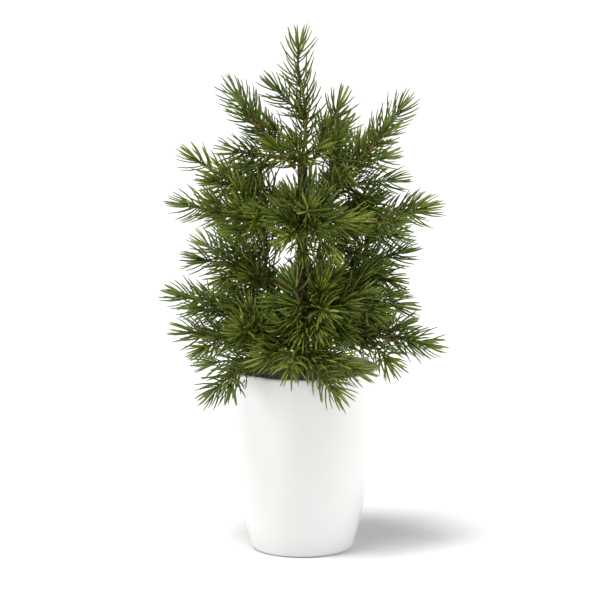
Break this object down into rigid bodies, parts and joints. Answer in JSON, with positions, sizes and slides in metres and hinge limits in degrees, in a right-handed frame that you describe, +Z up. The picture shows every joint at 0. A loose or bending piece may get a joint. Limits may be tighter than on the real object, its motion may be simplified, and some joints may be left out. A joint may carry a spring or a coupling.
{
  "type": "artificial tabletop tree",
  "caption": "Small artificial pine with moulded needles on bendable wire branches, standing in a white glossy tapered cachepot.",
  "frame": {"origin": "centre of the pot's flat base, on the surface that the pot stands on", "axes": "+Z up along the trunk, +X to the right and -Y towards the front of the tree"},
  "size_m": [0.2304, 0.1994, 0.442],
  "materials": {
    "glaze": "white gloss glaze",
    "liner_plastic": "moulded black plastic",
    "cement": "cast cement",
    "foam": "rigid foam, cut",
    "grit": "bonded stone grit",
    "steel": "drawn wire",
    "bark": "moulded rough bark",
    "tape": "wrapped crepe tape",
    "stem": "taped wire with scaly bark",
    "needles": "moulded soft polyethylene"
  },
  "bodies": {
    "pot": {"cachepot": "glaze"},
    "tree": {"liner_pot": "liner_plastic", "cement_ballast": "cement", "foam_block": "foam", "stone_topping": "grit", "trunk_rod": "steel", "bark_sleeve_1": "bark", "tape_binding_1": "tape", "bark_sleeve_2": "bark", "tape_binding_2": "tape", "bark_sleeve_3": "bark", "tape_binding_3": "tape", "bark_sleeve_4": "bark", "tape_binding_4": "tape", "bark_sleeve_5": "bark", "tape_binding_5": "tape"},
    "low_right": {"low_right_wire": "stem", "low_right_needles": "needles"},
    "low_front_left": {"low_front_left_wire": "stem", "low_front_left_needles": "needles"},
    "low_left": {"low_left_wire": "stem", "low_left_needles": "needles"},
    "low_front": {"low_front_wire": "stem", "low_front_needles": "needles"},
    "low_back_right": {"low_back_right_wire": "stem", "low_back_right_needles": "needles"},
    "low_back_left": {"low_back_left_wire": "stem", "low_back_left_needles": "needles"},
    "second_left": {"second_left_wire": "stem", "second_left_needles": "needles"},
    "second_front": {"second_front_wire": "stem", "second_front_needles": "needles"},
    "second_right": {"second_right_wire": "stem", "second_right_needles": "needles"},
    "second_back": {"second_back_wire": "stem", "second_back_needles": "needles"},
    "third_left": {"third_left_wire": "stem", "third_left_needles": "needles"},
    "third_right": {"third_right_wire": "stem", "third_right_needles": "needles"},
    "fourth_left": {"fourth_left_wire": "stem", "fourth_left_needles": "needles"},
    "fourth_right": {"fourth_right_wire": "stem", "fourth_right_needles": "needles"},
    "fourth_front": {"fourth_front_wire": "stem", "fourth_front_needles": "needles"},
    "fourth_back": {"fourth_back_wire": "stem", "fourth_back_needles": "needles"},
    "fifth_left": {"fifth_left_wire": "stem", "fifth_left_needles": "needles"},
    "fifth_right": {"fifth_right_wire": "stem", "fifth_right_needles": "needles"},
    "top_left": {"top_left_wire": "stem", "top_left_needles": "needles"},
    "top_right": {"top_right_wire": "stem", "top_right_needles": "needles"},
    "top_front": {"top_front_wire": "stem", "top_front_needles": "needles"},
    "leader": {"leader_wire": "stem", "leader_needles": "needles"}
  },
  "joints": [
    {"name": "lift_out", "type": "slide", "parent": "pot", "child": "tree", "axis": [0, 0, 1], "range_m": [0, 0.16]},
    {"name": "low_right_bend", "type": "hinge", "parent": "tree", "child": "low_right", "pos_m": [0.00792, -0.00111, 0.18], "axis": [-0.1392, -0.9903, 0], "range_deg": [-10, 14]},
    {"name": "low_front_left_bend", "type": "hinge", "parent": "tree", "child": "low_front_left", "pos_m": [-0.00595, -0.00535, 0.18], "axis": [-0.6691, 0.7431, 0], "range_deg": [-3, 16]},
    {"name": "low_left_bend", "type": "hinge", "parent": "tree", "child": "low_left", "pos_m": [-0.00798, -0.00042, 0.181], "axis": [-0.0523, 0.9986, 0], "range_deg": [-9, 8]},
    {"name": "low_front_bend", "type": "hinge", "parent": "tree", "child": "low_front", "pos_m": [-0.00097, -0.00793, 0.181], "axis": [-0.9925, 0.1219, 0], "range_deg": [-4, 24]},
    {"name": "low_back_right_bend", "type": "hinge", "parent": "tree", "child": "low_back_right", "pos_m": [0.00459, 0.00655, 0.18], "axis": [0.8192, -0.5736, 0], "range_deg": [-10, 26]},
    {"name": "low_back_left_bend", "type": "hinge", "parent": "tree", "child": "low_back_left", "pos_m": [-0.00458, 0.00654, 0.181], "axis": [0.8192, 0.5736, 0], "range_deg": [-9, 26]},
    {"name": "second_left_bend", "type": "hinge", "parent": "tree", "child": "second_left", "pos_m": [-0.00756, 0.00161, 0.203], "axis": [0.2079, 0.9781, 0], "range_deg": [-9, 24]},
    {"name": "second_front_bend", "type": "hinge", "parent": "tree", "child": "second_front", "pos_m": [0.00224, -0.00733, 0.208], "axis": [-0.9563, -0.2924, 0], "range_deg": [-20, 26]},
    {"name": "second_right_bend", "type": "hinge", "parent": "tree", "child": "second_right", "pos_m": [0.00736, -0.00225, 0.205], "axis": [-0.2924, -0.9563, 0], "range_deg": [-12, 9]},
    {"name": "second_back_bend", "type": "hinge", "parent": "tree", "child": "second_back", "pos_m": [-0.00027, 0.00762, 0.211], "axis": [0.9994, 0.0349, 0], "range_deg": [-25, 28]},
    {"name": "third_left_bend", "type": "hinge", "parent": "tree", "child": "third_left", "pos_m": [-0.00748, 0, 0.223], "axis": [0, 1, 0], "range_deg": [-22, 20]},
    {"name": "third_right_bend", "type": "hinge", "parent": "tree", "child": "third_right", "pos_m": [0.00749, 0.00079, 0.219], "axis": [0.1045, -0.9945, 0], "range_deg": [-9, 9]},
    {"name": "fourth_left_bend", "type": "hinge", "parent": "tree", "child": "fourth_left", "pos_m": [-0.00694, -0.00049, 0.267], "axis": [-0.0698, 0.9976, 0], "range_deg": [-18, 12]},
    {"name": "fourth_right_bend", "type": "hinge", "parent": "tree", "child": "fourth_right", "pos_m": [0.00697, -0.00049, 0.264], "axis": [-0.0698, -0.9976, 0], "range_deg": [-11, 15]},
    {"name": "fourth_front_bend", "type": "hinge", "parent": "tree", "child": "fourth_front", "pos_m": [0.0006, -0.0069, 0.269], "axis": [-0.9962, -0.0872, 0], "range_deg": [-25, 28]},
    {"name": "fourth_back_bend", "type": "hinge", "parent": "tree", "child": "fourth_back", "pos_m": [0.00121, 0.00686, 0.266], "axis": [0.9848, -0.1736, 0], "range_deg": [-25, 30]},
    {"name": "fifth_left_bend", "type": "hinge", "parent": "tree", "child": "fifth_left", "pos_m": [-0.00658, 0.00046, 0.297], "axis": [0.0698, 0.9976, 0], "range_deg": [-14, 15]},
    {"name": "fifth_right_bend", "type": "hinge", "parent": "tree", "child": "fifth_right", "pos_m": [0.0066, 0.00046, 0.295], "axis": [0.0698, -0.9976, 0], "range_deg": [-17, 16]},
    {"name": "top_left_bend", "type": "hinge", "parent": "tree", "child": "top_left", "pos_m": [-0.00615, 0.00109, 0.326], "axis": [0.1736, 0.9848, 0], "range_deg": [-22, 20]},
    {"name": "top_right_bend", "type": "hinge", "parent": "tree", "child": "top_right", "pos_m": [0.00605, -0.00151, 0.327], "axis": [-0.2419, -0.9703, 0], "range_deg": [-25, 16]},
    {"name": "top_front_bend", "type": "hinge", "parent": "tree", "child": "top_front", "pos_m": [-0.00087, -0.00619, 0.326], "axis": [-0.9903, 0.1392, 0], "range_deg": [-25, 22]},
    {"name": "leader_bend", "type": "hinge", "parent": "tree", "child": "leader", "pos_m": [0, 0, 0.3355], "axis": [-1, 0, 0], "range_deg": [-15, 12]}
  ]
}
